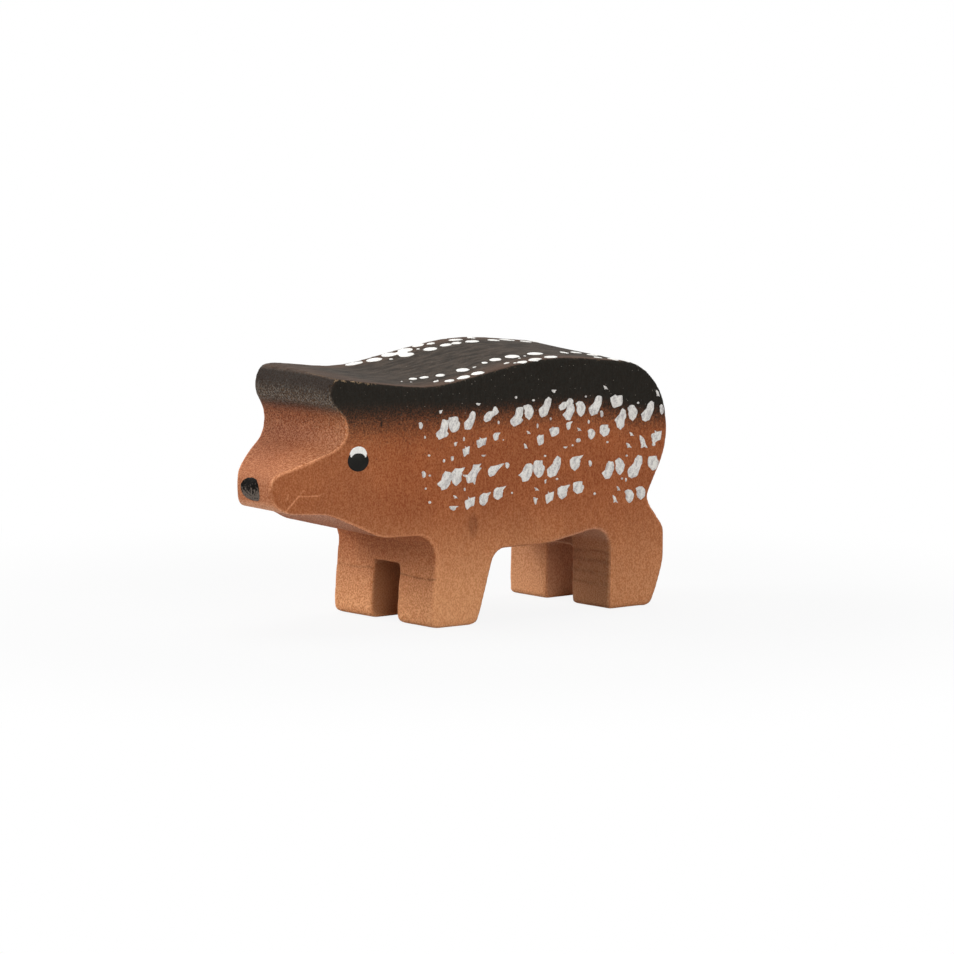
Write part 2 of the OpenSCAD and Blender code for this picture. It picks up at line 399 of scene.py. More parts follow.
@dataclass(frozen=True)
class WoodGrain:
    """The wood's noises, and what counts as a side, as a front and as the slot's middle."""

    # The pores are short upright strokes on the sides and fine points on the sawn faces.
    strokes: Noise = Noise((5.6, 5.6, 4.0), 1.0, span=(0.3, 0.7))
    points: Noise = Noise(4.3, 1.0, span=(0.3, 0.7))
    fibre: Noise = Noise((3.2, 3.2, 0.7), span=(0.3, 0.7))
    cloud: Noise = Noise(0.16)
    fluff: Noise = Noise((5.5, 5.5, 3.8), 1.0, span=(0.38, 0.66))
    # How far a face has to look sideways to be a side, and forwards to be a front or to look forwards at all.
    side: Span = (0.45, 0.7)
    front: Span = (0.4, 0.8)
    fore: Span = (0.1, 0.45)
    # The slot's middle: its drift to the right per millimetre towards the rump, and how far left it starts.
    slot_drift: float = 0.0131
    slot_left: float = 0.2

    def read(self, sheet: Sheet) -> Ground:
        """Set up what the masks follow.

        Args:
            sheet: the sheet of the wood's material.

        Returns:
            The ground, still without the height over the spray's edge.
        """
        spot = sheet.place()
        x, y, z = sheet.axes(spot)
        face_x, face_y, face_z = sheet.axes(sheet.out("ShaderNodeNewGeometry", output="Normal"))
        cut = abs(face_y).fade(*self.side)
        strokes = sheet.grain(spot, self.strokes)
        points = sheet.grain(spot, self.points)
        return Ground(sheet, spot, {
            X: x, Y: y, Z: z, ACROSS: abs(y + self.slot_left - x * self.slot_drift), UP: face_z, CUT: cut,
            FRONT: (-face_x).ease(*self.front), FORE: (-face_x).ease(*self.fore) * cut,
            WORN: sheet.out("ShaderNodeAttribute", {"attribute_name": WEAR}, output="Fac"),
            PORE: strokes + (points - strokes) * cut,
            FIBRE: sheet.grain(spot, self.fibre),
            CLOUD: sheet.grain(spot, self.cloud),
            FLUFF: sheet.grain(spot, self.fluff),
        })


@dataclass(frozen=True)
class RubbedWoodAndPaintedLight:
    """Where the stain is rubbed off, and where light and shade are painted on it: the feet, the head, the
    arch and the edges.
    """

    # The tip of the snout, less at its top, then painted light on the chin, and the cheeks.
    snout: tuple[Coat, ...] = (
        Coat(Tone.SNOUT, 1.0, (
            Rise(CUT), Rise(X, -23.5, -30.5), Rise(Z, 13.0, 16.0), Rise(Z, 16.5, 18.5, base=1.0, gain=-0.7),
        )),
        Coat(Tone.BARE, 0.4, (Rise(CUT), Rise(X, -25.0, -29.0), Rise(Z, 13.0, 15.0), Rise(Z, 18.6, 16.8))),
        Coat(Tone.FOOT, 0.08, (Rise(CUT, base=1.0, gain=-1.0), Rise(X, -14.0, -22.0))),
    )
    # Heights at which the sides and the fronts of the legs begin to pale; the hind legs keep some stain.
    side_top: float = 18.5
    front_top: float = 13.2
    hind: Rise = Rise(X, 6.0, 18.0)
    hind_kept: float = 0.4
    # Painted light from the floor's bounce on faces that look down under the jaw and in the arch, and a grey
    # tint on the forehead.
    dust: tuple[Coat, ...] = (
        Coat(Tone.PAINTED_BOUNCE, 1.0, (
            Rise(UP, -0.4, -0.8), Rise(Z, 10.0, 11.5), Rise(X, -15.0, -24.0),
            Rise(FLUFF, base=0.15, gain=0.6),
        )),
        Coat(Tone.PAINTED_BOUNCE, 0.4, (
            Rise(UP, -0.15, -0.6), Rise(X, 9.0, 13.0), Rise(X, 24.0, 22.0), Rise(Z, 6.5, 8.5),
        )),
        Coat(Tone.HAZE, 0.06, (Rise(FORE), Rise(Z, 17.0, 20.0), Rise(Z, 22.0, 25.0, base=1.0))),
    )
    # The forehead and the left fore leg with a painted highlight towards the left, and painted shade on the
    # far side of the forehead.
    forehead: Rises = (Rise(FORE), FORE_HALF, Rise(Z, 19.0, 22.0))
    leg: Rises = (Rise(FORE), FORE_HALF, Rise(Z, 6.0, 8.0), Rise(Z, 13.0, 11.0))
    highlight_leftwards: Rise = Rise(Y, 2.0, -8.0)
    front: tuple[Coat, ...] = (
        Coat(Tone.FOOT, 0.16, (*forehead, highlight_leftwards)),
        Coat(Tone.FOOT, 0.12, (*leg, highlight_leftwards)),
        Coat(Tone.SAW_LINE_AND_SHADE, 0.14, (*forehead, Rise(Y, 2.0, 9.0))),
    )
    # The wear that bares the edges, its waver and its gain low down. It shows more with height, and less at
    # the jowl.
    rim: Span = (0.6, 0.86)
    rim_waver: float = 0.3
    rim_low: Rise = Rise(Z, 17.0, 14.0, gain=0.1)
    rim_share: Rise = Rise(Z, 8.5, 16.0, base=0.12, gain=0.36)
    jowl: Rises = (Rise(X, -26.0, -28.5), Rise(Z, 21.0, 19.3, gain=0.8))

    def pale(self, ground: Ground, colour: Signal) -> Signal:
        """Rub the snout, with painted light on its chin, and the legs towards the feet, more on the fore
        legs.
        """
        z, cut = ground.at(Z, CUT)
        hind = ground.weight(self.hind)
        top = self.side_top + cut * (self.front_top - self.side_top) * (1 - hind)
        feet = (1 - z / top).ease(0.0, 1.0) * (1 - hind * (1 - cut) * self.hind_kept)
        # The snout's coats hold painted light on the chin.
        return ground.tint(ground.coat(colour, *self.snout), Tone.FOOT, feet)

    def light_and_wear(self, ground: Ground, colour: Signal) -> Signal:
        """Paint the floor's bounce under the jaw and in the arch, grey the forehead a little, paint light and
        shade on the front, and bare the edges.
        """
        worn, cloud = ground.at(WORN, CLOUD)
        wear = worn + cloud.swing() * self.rim_waver + ground.weight(self.rim_low)
        rim = wear.ease(*self.rim) * ground.weight(self.rim_share) * (1 - ground.weight(*self.jowl))
        # Painted floor bounce and a grey tint, painted light and shade on the front, then bare rims.
        return ground.tint(ground.coat(colour, *self.dust, *self.front), Tone.BARE, rim)


@dataclass(frozen=True)
class SawLines:
    """Lines that the saw left on the fronts of the legs: their heights, half width, share and zone."""

    heights: tuple[float, ...]
    half: float
    share: float
    rises: Rises


@dataclass(frozen=True)
class SawMarksAndShade:
    """Painted shade in the slot, on the fronts of the hind legs, darkest on the left one, and over the slot;
    and the lines on the legs.
    """

    slot: Rises = (Rise(ACROSS, 2.95, 2.8), Rise(Z, 8.3, 8.0))
    hind: Rises = (Rise(FRONT), Rise(X, 12.0, 18.0))
    hind_left: Rises = (*hind, Rise(Y, -2.6, -2.9))
    rear: Rise = Rise(X, 0.0, 15.0)
    # Painted shade: the slot, darkest in front; the left hind leg, darkest low down; grey on the hind legs'
    # fronts and grey and pale tints in the slot; the wood over the slot.
    shades: tuple[Coat, ...] = (
        Coat(Tone.SAW_LINE_AND_SHADE, 1.0, (*slot, replace(rear, base=0.47, gain=-0.4))),
        Coat(Tone.SAW_LINE_AND_SHADE, 1.0, (*hind_left, Rise(Z, 6.0, 9.5, base=0.36, gain=-0.22))),
        Coat(Tone.HAZE, 0.13, hind),
        Coat(Tone.HAZE, 0.13, (*slot, rear)),
        Coat(Tone.PAINTED_BOUNCE, 0.16, (*slot, rear)),
        Coat(Tone.SAW_LINE_AND_SHADE, 0.55, (*hind, Rise(ACROSS, 3.0, 2.6), Rise(Z, 7.8, 8.2))),
    )
    lines: tuple[SawLines, ...] = (
        SawLines((6.7,), half=0.3, share=1.0, rises=(
            Rise(FRONT), FORE_HALF, Rise(Y, -2.0, 2.0, base=0.5, gain=-0.27),
        )),
        SawLines((7.6, 6.4, 4.9, 3.4), half=0.45, share=0.28, rises=hind_left),
    )
    # How the lines sway and break off.
    sway: Noise = Noise((0.1, 0.16, 0.1), 3.0)
    sway_h: float = 1.6
    breaks: Noise = Noise((0.5, 0.5, 1.5), span=(0.25, 0.55))

    def draw(self, ground: Ground, colour: Signal) -> Signal:
        """Paint shade into the slot and on the hind legs, and draw the lines."""
        colour = ground.coat(colour, *self.shades)
        level = ground.reads[Z] + ground.grain(self.sway).swing() * self.sway_h
        broken = ground.grain(self.breaks)
        for lines in self.lines:
            share = broken * ground.weight(*lines.rises, share=lines.share)
            for height in lines.heights:
                colour = ground.tint(colour, Tone.SAW_LINE_AND_SHADE, abs(level - height).fade(0.0, lines.half) * share)
        return colour


@dataclass(frozen=True)
class Blemishes:
    """The smudge on the left flank, the fleck behind the left eye and the scratches on the left cheek."""

    smudge: Blob = ((-2.7, -11.0, 13.5), (1.0, 1.5, 2.2))
    smudge_share: float = 0.5
    streaks: Noise = Noise((2.4, 2.4, 0.5), span=(0.35, 0.6))
    streaked: float = 0.5
    fleck: Blob = ((-17.9, -10.6, 28.2), (0.22, 0.6, 0.65))
    fleck_share: float = 0.9
    # Scratches: start and end along x and z, and how far they bare the wood.
    scratches: tuple[tuple[Point, Point, float], ...] = (
        ((-29.7, 16.75), (-28.3, 18.9), 0.5), ((-28.3, 18.9), (-26.2, 18.95), 0.35),
        ((-26.2, 18.95), (-25.5, 19.25), 0.2), ((-28.3, 18.9), (-27.7, 19.75), 0.15),
        ((-29.55, 18.4), (-29.35, 19.15), 0.25),
    )
    scratch_half: Span = (0.03, 0.15)
    left: Rise = Rise(Y, -1.0, -2.0)

    def draw(self, ground: Ground, colour: Signal) -> Signal:
        """Draw all of them."""
        smudge = ground.near(self.smudge) * (1 - self.streaked + ground.grain(self.streaks) * self.streaked)
        colour = ground.tint(colour, Tone.SAW_LINE_AND_SHADE, smudge * self.smudge_share)
        colour = ground.tint(colour, Tone.SOOT, ground.near(self.fleck) * self.fleck_share)
        for start, end, share in self.scratches:
            line = ground.sheet.stroke(ground.spot, start, end).fade(*self.scratch_half)
            colour = ground.tint(colour, Tone.BARE, line * ground.weight(self.left, share=share))
        return colour


@dataclass(frozen=True)
class Drops:
    """Drops of spray below its edge.

    They lie where a noise passes peak, or only peak less ease where near is full.
    """

    noise: Noise
    near: Rises
    peak: float
    ease: float
    soft: float
    share: float

    def mask(self, ground: Ground) -> Signal:
        """How thick the drops lie."""
        peak = self.peak - ground.weight(*self.near) * self.ease
        return (ground.grain(self.noise) - peak).ease(0.0, self.soft) * self.share


@dataclass(frozen=True)
class Spray:
    """The dark spray along the back: its lower edge, its drops, its colour and where it has come off."""

    # The lower edge on the sides: its height, fall per millimetre towards the rump, waver and softness.
    edge_h: float = 27.7
    fall: float = 0.015
    waver: float = 0.9
    soft: float = 3.3
    # It comes lower on the rump, lower and softer by the ears, and ends higher and harder on the brow.
    rump_drop: Rise = Rise(X, 16.0, 28.0, gain=1.8)
    by_ears: Rises = (Rise(X, -4.0, -14.0), Rise(FRONT, base=1.0, gain=-1.0))
    ear_drop: float = 0.3
    ear_soft: float = 1.2
    brow_lift: float = 1.7
    brow_soft: float = 1.5
    mottle: Noise = Noise(5.5, 1.0, span=(0.3, 0.7))
    mottled: float = 1.4
    drops: Drops = Drops(
        Noise(4.6, 0.5), near=(Rise(OVER, -9.0, 0.0),), peak=0.83, ease=0.19, soft=0.08, share=0.55,
    )
    brow_drops: Drops = Drops(
        Noise(6.5, 0.5), near=(Rise(OVER, -6.0, 0.0), Rise(FRONT)), peak=0.66, ease=0.14, soft=0.1, share=0.6,
    )
    # The brow's warmer black, and a grey painted sheen low down on it.
    warm: Coat = Coat(Tone.SOOT_WARM, 0.7, (Rise(FRONT),))
    haze: Coat = Coat(Tone.HAZE, 1.0, (
        Rise(FRONT), Rise(OVER, -0.2, 1.4), Rise(OVER, 0.6, 4.0, base=0.8, gain=-0.74),
        Rise(FLUFF, base=0.25, gain=1.05),
    ))
    # On faces that look up: a painted sheen, streaked along the back, and brown at the edges and by the ears.
    top: Rise = Rise(UP, 0.74, 0.97)
    brush: Noise = Noise((0.3, 1.0, 1.0), 3.0, 0.7, span=(0.35, 0.65))
    sheen_share: float = 0.17
    streak_sheen: float = 0.55
    edge_y: Span = (6.5, 11.0)
    edge_rubbed: float = 0.3
    ear_rubbed: Rise = Rise(X, -15.0, -20.0, gain=0.17)
    # Chips along the worn edges, most at the left ear, and pale specks where a noise peaks.
    chip_ear: Blob = ((-21.2, -9.6, 34.2), (4.6, 2.6, 1.6))
    chip_noise: Noise = Noise(2.2)
    chip_waver: float = 0.9
    chip_wear: Span = (0.8, 1.04)
    chip_share: float = 0.15
    ear_wear: float = 0.08
    ear_share: float = 0.75
    specks: Noise = Noise(4.4, 0.0, span=(0.825, 0.875))
    speck_share: float = 0.45

    def cover(self, ground: Ground) -> Signal:
        """Find the height over the spray's edge, note it, and tell how thick the spray lies there.

        Args:
            ground: what is read on the wood; OVER is added to it.

        Returns:
            The thickness, from 0 to 1, with a mottled edge.
        """
        x, z, front, cloud = ground.at(X, Z, FRONT, CLOUD)
        ears = ground.weight(*self.by_ears)
        edge = self.edge_h - x * self.fall - ground.weight(self.rump_drop) + front * self.brow_lift
        over = z - edge + cloud.swing() * self.waver + ears * self.ear_drop
        ground.reads[OVER] = over
        soft = self.soft + ears * self.ear_soft + front * (self.brow_soft - self.soft)
        veil = over.ease(-soft, soft)
        mottle = ground.grain(self.mottle).swing() * self.mottled
        return (veil + mottle * veil * (1 - veil)).ease(0.0, 1.0)

    def fall_out(self, ground: Ground) -> Signal:
        """The drops below the edge, fewer the further down, and finer ones close to it on the brow."""
        brow = self.brow_drops.mask(ground) * ground.weight(*self.brow_drops.near)
        return ground.sheet.math("MAXIMUM", self.drops.mask(ground), brow)

    def colour(self, ground: Ground) -> Signal:
        """The spray's colour: with a painted sheen and rubbed on top, and a grey painted sheen low on the
        brow.
        """
        y, fibre = ground.at(Y, FIBRE)
        soot = ground.sheet.mix(fibre, Tone.SOOT_DEEP.value, Tone.SOOT.value)
        soot = ground.coat(soot, self.warm)
        # A painted sheen on faces that look up, streaked along the back.
        top = ground.weight(self.top)
        dust = self.sheen_share + ground.grain(self.brush) * self.streak_sheen
        soot = ground.tint(soot, Tone.DUST, top * dust)
        edges = abs(y).ease(*self.edge_y) * self.edge_rubbed
        rubbed = ground.sheet.math("MAXIMUM", edges, ground.weight(self.ear_rubbed))
        # A grey painted sheen low on the brow.
        return ground.coat(ground.tint(soot, Tone.RUBBED, top * rubbed), self.haze)

    def worn_off(self, ground: Ground, colour: Signal, cover: Signal) -> Signal:
        """Chip the spray in a broken line along the edges, and strew a few pale specks on it."""
        ear = ground.near(self.chip_ear)
        broken = ground.grain(self.chip_noise).swing() * self.chip_waver
        wear = ground.reads[WORN] + broken + ear * self.ear_wear
        chips = wear.ease(*self.chip_wear) * (self.chip_share + ear * self.ear_share)
        colour = ground.tint(colour, Tone.CHIP, chips * cover)
        return ground.tint(colour, Tone.SPECK, ground.grain(self.specks) * cover * self.speck_share)


@dataclass(frozen=True)
class StainedWood:
    """Fine-grained wood, stained brown, sprayed dark along the back and rubbed at the feet and edges."""

    grain: WoodGrain = WoodGrain()
    # Rubbed stain, with painted light and shade on the chin, under the jaw, in the arch and on the front.
    rub_and_light: RubbedWoodAndPaintedLight = RubbedWoodAndPaintedLight()
    # Saw lines, with painted shade in the slot and on the hind legs.
    saw: SawMarksAndShade = SawMarksAndShade()
    blemishes: Blemishes = Blemishes()
    spray: Spray = Spray()
    # The share of clouds, next to fibre, in the stain, and of pores, next to fibre, in its grain and relief.
    cloudy: float = 0.8
    pored: float = 0.7
    stain_contrast: Span = (0.3, 0.75)
    stain_depth: float = 0.16
    relief: float = 0.03
    # How deep the pores shade: everywhere, more on sawn faces, and most on the forehead.
    depth: float = 0.21
    cut_depth: float = 0.03
    fore_depth: Rises = (
        Rise(FORE), Rise(X, -28.0, -30.0, base=1.0, gain=-0.6), Rise(X, 4.0, 12.0, base=1.0, gain=-0.9),
        Rise(Z, 11.0, 15.0, base=0.08, gain=0.17),
    )
    # The grain shades blue most, so that it looks grey and not red.
    shade_rgb: Colour = (0.6, 1.0, 1.35)
    rough: float = 0.7
    spray_rough: float = 0.12
    pore_rough: float = 0.14
    gloss: float = 0.12

    def material(self) -> bpy.types.Material:
        """Build the wood's material.

        Returns:
            The material, with its masks all taken from the object's own coordinates and wear.
        """
        made = bpy.data.materials.new("stained_wood")
        made.use_nodes = True
        ground = self.grain.read(Sheet(made.node_tree))
        sheet, (pore, fibre, cut) = ground.sheet, ground.at(PORE, FIBRE, CUT)
        cover = self.spray.cover(ground)
        grain = fibre * (1 - self.pored) + pore * self.pored
        brown = self._brown(ground, grain)
        dark = sheet.math("MAXIMUM", cover, self.spray.fall_out(ground))
        depth = self.depth + cut * self.cut_depth + ground.weight(*self.fore_depth)
        colour = self._shade(sheet, sheet.mix(dark, brown, self.spray.colour(ground)), pore, depth)
        colour = self.spray.worn_off(ground, colour, cover)
        rough = self.rough + cover * self.spray_rough + pore.swing() * self.pore_rough
        sheet.surface(colour, rough, sheet.relief(grain, self.relief), self.gloss)
        return made

    def _brown(self, ground: Ground, grain: Signal) -> Signal:
        """The stain with all that was rubbed, sawn, scratched and strewn on it, and the light and shade
        painted on it.
        """
        cloud, fibre = ground.at(CLOUD, FIBRE)
        share = (cloud * self.cloudy + fibre * (1 - self.cloudy)).ease(*self.stain_contrast)
        brown = ground.sheet.mix(share, Tone.STAIN_DEEP.value, Tone.STAIN.value)
        brown = self._shade(ground.sheet, brown, grain, self.stain_depth)
        for layer in (self.rub_and_light.pale, self.saw.draw, self.blemishes.draw, self.rub_and_light.light_and_wear):
            brown = layer(ground, brown)
        return brown

    def _shade(self, sheet: Sheet, colour: Signal, pattern: Signal, depth: Number) -> Signal:
        """Darken and lighten a colour along a pattern."""
        swing = pattern.swing() * 2.0 * depth
        gains = {channel: 1.0 + swing * share for channel, share in enumerate(self.shade_rgb)}
        return sheet.mix(1.0, colour, sheet.out("ShaderNodeCombineColor", None, gains), "MULTIPLY")


# The paints.

@dataclass(frozen=True)
class Paint:
    """Hobby paint laid on with a brush or the end of a dowel, streaked along the stroke.

    Where a span of heights is given, a painted sheen turns the paint to its thin colour below the first
    height, and the paint stays whole above the second.
    """

    name: str
    body: Colour
    thin: Colour
    rough: float
    rough_spread: float
    gloss: float
    streaked: float = 0.6
    streaks: Noise = Noise((1.9, 1.9, 0.8), 3.0, 0.6)
    ridges: float = 0.012
    specks: Noise = Noise(5.0)
    cover: Span = (0.34, 0.6)
    stroke_lean: float = 20.0
    # A painted sheen: the heights below which the paint greys, how strongly, and the share about which it
    # shifts.
    rubbed: Span | None = None
    sheen_depth: float = 0.32
    sheen_middle: float = 0.4

    def material(self) -> bpy.types.Material:
        """Build the paint's material, thinner and thicker along the brush stroke.

        Returns:
            The material.
        """
        made = bpy.data.materials.new(self.name)
        made.use_nodes = True
        sheet = Sheet(made.node_tree)
        spot = sheet.place()
        turn = {"Vector": spot, "Rotation": (0.0, math.radians(-self.stroke_lean), 0.0)}
        streak = sheet.grain(sheet.out("ShaderNodeMapping", None, turn), self.streaks)
        fine = sheet.grain(spot, self.specks)
        film = streak * self.streaked + fine * (1 - self.streaked)
        # Painted sheen: the paint greys towards the bottom.
        if self.rubbed:
            _, _, z = sheet.axes(spot)
            film = film + (z.ease(*self.rubbed) - self.sheen_middle) * self.sheen_depth
        colour = sheet.mix(film.ease(*self.cover), self.thin, self.body)
        rough = self.rough + fine.swing() * self.rough_spread
        normal = sheet.relief(film, self.ridges)
        sheet.surface(colour, rough, normal, self.gloss)
        return made


DAB_WHITE = Paint("dab_white", srgb(238, 235, 229), srgb(184, 179, 177), 0.55, 0.2, 0.25)
DOT_WHITE = Paint("dot_white", srgb(248, 247, 242), srgb(234, 231, 226), 0.5, 0.2, 0.25)
EYE_BLACK = Paint("eye_black", srgb(17, 15, 12), srgb(24, 22, 18), 0.42, 0.15, 0.2)
# The nose's grey, low down and in specks, is painted sheen.
NOSE_BLACK = Paint(
    "nose_black", srgb(11, 7, 4), srgb(100, 90, 82), 0.45, 0.2, 0.04, streaked=0.1, ridges=0.06,
    specks=Noise(3.8), cover=(0.4, 0.58), rubbed=(18.2, 20.6),
)


# Modelling helpers.

def only(piece: bpy.types.Object) -> None:
    """Select one object and make it the active one."""
    bpy.ops.object.select_all(action="DESELECT")
    piece.select_set(True)
    bpy.context.view_layer.objects.active = piece


def apply_modifier(piece: bpy.types.Object, kind: str, **settings: Any) -> None:
    """Add a modifier with its settings and apply it.

    Args:
        piece: the object to change.
        kind: the modifier's type.
        settings: properties of the modifier.
    """
    only(piece)
    modifier = piece.modifiers.new(kind.lower(), kind)
    for name, setting in settings.items():
        setattr(modifier, name, setting)
    bpy.ops.object.modifier_apply(modifier=modifier.name)


def finish_piece(
    piece: bpy.types.Object, material: bpy.types.Material, nodes: Iterable[str],
) -> None:
    """Dress a piece and enter it in the frame.

    Args:
        piece: the finished mesh.
        material: its finish.
        nodes: the solids that the piece stands for.
    """
    piece.data.materials.clear()
    piece.data.materials.append(material)
    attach(piece, BODY)
    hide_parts(*nodes)
    LOG.info("%s: %d faces", piece.name, len(piece.data.polygons))


# The wood.

@dataclass
class WoodenBody:
    """The sawn block with its edges broken by sandpaper and its toes worn."""

    # How near points are welded, and how flat faces are joined, before the edges are broken.
    weld: float = 0.12
    flat_deg: float = 0.5
    edge: float = 0.22
    edge_steps: int = 3
    edge_from_deg: float = 30.0
    voxel: float = 0.29
    sanding: float = 0.5
    sanding_passes: int = 2
    toe_h: float = 2.2
    toe_gain: float = 1.5
    toe_passes: int = 10
    wear_reach: float = 1.0
    probe_step: float = 0.1
    unevenness: float = 0.07
    uneven_size: float = 7.0
    piece: bpy.types.Object | None = field(default=None, init=False)

    def build(self, solid: bpy.types.Object) -> bpy.types.Object:
        """Copy the sawn solid, break its edges and give it an even, closed mesh.

        Args:
            solid: the body's solid from the frame.

        Returns:
            The sanded body.
        """
        only(solid)
        bpy.ops.object.duplicate()
        self.piece = bpy.context.view_layer.objects.active
        self.piece.name = "sanded_body"
        self.piece.parent = None
        for key in list(self.piece.keys()):
            del self.piece[key]
        bpy.ops.object.mode_set(mode="EDIT")
        bpy.ops.mesh.select_all(action="SELECT")
        bpy.ops.mesh.remove_doubles(threshold=self.weld * MM)
        bpy.ops.mesh.dissolve_limited(angle_limit=math.radians(self.flat_deg))
        bpy.ops.object.mode_set(mode="OBJECT")
        sawn_edges = self._probe_edges()
        apply_modifier(
            self.piece, "BEVEL", width=self.edge * MM, segments=self.edge_steps, limit_method="ANGLE",
            angle_limit=math.radians(self.edge_from_deg), use_clamp_overlap=False,
        )
        apply_modifier(self.piece, "REMESH", mode="VOXEL", voxel_size=self.voxel * MM, use_smooth_shade=True)
        apply_modifier(self.piece, "SMOOTH", factor=self.sanding, iterations=self.sanding_passes)
        self._tread()
        self._note_wear(sawn_edges)
        self._wave()
        only(self.piece)
        bpy.ops.object.shade_smooth()
        return self.piece

    def dress(self, material: bpy.types.Material) -> None:
        """Stain the body and let it stand for the solid."""
        finish_piece(self.piece, material, ["wooden_body"])

    def _tread(self) -> None:
        """Wear the rims of the soles rounder than the other edges."""
        toes = self.piece.vertex_groups.new(name="toes")
        for vertex in self.piece.data.vertices:
            share = 1.0 - vertex.co.z / (self.toe_h * MM)
            if share > 0.0:
                toes.add([vertex.index], min(share * self.toe_gain, 1.0), "REPLACE")
        apply_modifier(
            self.piece, "SMOOTH", factor=self.sanding, iterations=self.toe_passes, vertex_group="toes",
        )

    def _probe_edges(self) -> kdtree.KDTree:
        """Sample the sharp edges as the saw left them.

        Returns:
            The points along those edges, ready to be searched.
        """
        drawing = bmesh.new()
        drawing.from_mesh(self.piece.data)
        points = []
        for edge in drawing.edges:
            if edge.is_manifold and edge.calc_face_angle() > math.radians(self.edge_from_deg):
                start, end = (vertex.co.copy() for vertex in edge.verts)
                steps = math.ceil((end - start).length / (self.probe_step * MM))
                points += [start.lerp(end, step / steps) for step in range(steps + 1)]
        drawing.free()
        tree = kdtree.KDTree(len(points))
        for index, point in enumerate(points):
            tree.insert(point, index)
        tree.balance()
        return tree

    def _note_wear(self, sawn_edges: kdtree.KDTree) -> None:
        """Keep, as an attribute, how near each point lies to a sawn edge: 1 on it, 0 out of reach."""
        reach = self.wear_reach * MM
        nearness = [max(0.0, 1 - sawn_edges.find(v.co)[2] / reach) for v in self.piece.data.vertices]
        worn = self.piece.data.attributes.new(WEAR, "FLOAT", "POINT")
        worn.data.foreach_set("value", nearness)

    def _wave(self) -> None:
        """Leave the faces slightly uneven, as hand sanding does."""
        clouds = bpy.data.textures.new("sanding", "CLOUDS")
        clouds.noise_scale = self.uneven_size * MM
        apply_modifier(
            self.piece, "DISPLACE", texture=clouds, texture_coords="LOCAL", strength=self.unevenness * MM,
        )


# The marks.

class Touch(Enum):
    """Outlines that a dab can have, as corners in a square from -1 to 1."""

    ROUND = ()
    LOBE = (
        (0.10, 1.00), (1.00, 0.92), (0.98, 0.21), (0.81, -0.21), (1.00, -0.42), (0.62, -0.75),
        (-0.35, -1.00), (-0.77, -0.79), (-0.99, -0.33), (-0.28, 0.13), (-0.13, 0.62),
    )
    SHIELD = (
        (-0.96, 0.98), (0.57, 1.00), (0.64, 0.47), (1.00, 0.16), (0.64, -0.70), (-0.14, -1.00),
        (-0.57, -0.75), (-1.00, -0.24),
    )
    LEAF = (
        (0.48, 1.00), (1.00, 0.83), (0.96, 0.22), (0.62, -0.38), (0.27, -0.85), (-0.48, -1.00),
        (-0.90, -0.81), (-1.00, -0.21), (-0.21, 0.31), (0.00, 0.74),
    )
    BONE = (
        (-1.00, -0.21), (-0.45, 0.41), (0.10, 0.42), (0.30, 0.92), (0.68, 1.00), (1.00, 0.35),
        (0.79, -0.04), (0.14, -0.38), (-0.18, -0.83), (-0.78, -1.00), (-1.00, -0.72),
    )
    SLUG = (
        (0.12, 1.00), (0.71, 0.96), (1.00, 0.65), (1.00, 0.12), (0.76, -0.40), (0.29, -0.89),
        (-0.41, -0.97), (-0.59, -0.62), (-1.00, -0.23), (-0.47, 0.12), (-0.24, 0.65),
    )
    HORN = (
        (-0.94, 0.52), (-0.41, 0.95), (0.24, 0.90), (1.00, 1.00), (0.50, 0.45), (0.59, 0.28),
        (0.47, -0.05), (0.41, -0.52), (-0.24, -1.00), (-0.70, -0.76), (-0.94, -0.33),
    )
    FLAG = (
        (-0.05, 0.97), (0.90, 1.00), (0.60, 0.66), (0.95, 0.60), (0.75, 0.35), (0.45, 0.07),
        (0.25, -0.51), (0.10, -1.00), (-0.15, -0.80), (-0.85, -0.80), (-1.00, -0.18), (-0.45, 0.31),
        (-0.20, 0.64),
    )
    DROP = (
        (-0.98, 0.11), (-0.64, 0.72), (-0.10, 0.78), (1.00, 1.00), (0.59, 0.45), (0.15, -0.16),
        (-0.25, -0.84), (-0.83, -1.00), (-1.00, -0.43),
    )
    EGG = (
        (-0.27, 1.00), (0.45, 0.80), (1.00, 0.16), (0.77, -0.58), (0.05, -1.00), (-0.60, -0.63),
        (-0.84, -0.14), (-0.76, 0.16), (-1.00, 0.70),
    )
    TALL = (
        (0.35, 1.00), (0.90, 0.71), (1.00, 0.21), (0.69, -0.22), (0.69, -0.62), (0.00, -1.00),
        (-0.56, -0.76), (-0.76, -0.29), (-1.00, -0.04), (-0.28, 0.42),
    )
    CROWN = (
        (-0.34, 1.00), (0.05, 0.73), (1.00, 0.85), (0.74, -0.48), (0.28, -0.56), (-0.57, -1.00),
        (-0.88, -0.48), (-1.00, 0.42), (-0.34, 0.60),
    )
    PATCH = (
        (-0.25, 1.00), (0.00, 0.84), (0.92, 0.87), (1.00, -0.08), (0.83, -0.63), (-0.42, -1.00),
        (-0.83, -0.32), (-1.00, 0.56),
    )
    TOOTH = (
        (-1.00, 0.44), (-0.44, 0.92), (1.00, 1.00), (0.50, 0.42), (0.31, -0.66), (-0.38, -1.00),
        (-0.75, -0.52),
    )
    WEDGE = (
        (-0.97, 0.99), (0.97, 0.58), (0.42, 0.16), (0.35, -0.66), (-0.14, -1.00), (-0.83, -0.11),
    )
    SNOUT = (
        (-0.42, 0.90), (0.15, 1.00), (0.62, 0.88), (0.93, 0.48), (1.00, -0.10), (0.98, -0.62),
        (0.72, -0.96), (0.10, -0.98), (-0.52, -0.82), (-0.90, -0.40), (-1.00, 0.15), (-0.80, 0.60),
    )
    SLIVER = (
        (-0.94, 1.00), (0.07, 0.49), (0.54, -0.48), (1.00, -0.99), (0.07, -0.76), (-0.67, -0.90),
        (-0.57, -0.36), (-0.98, 0.43),
    )


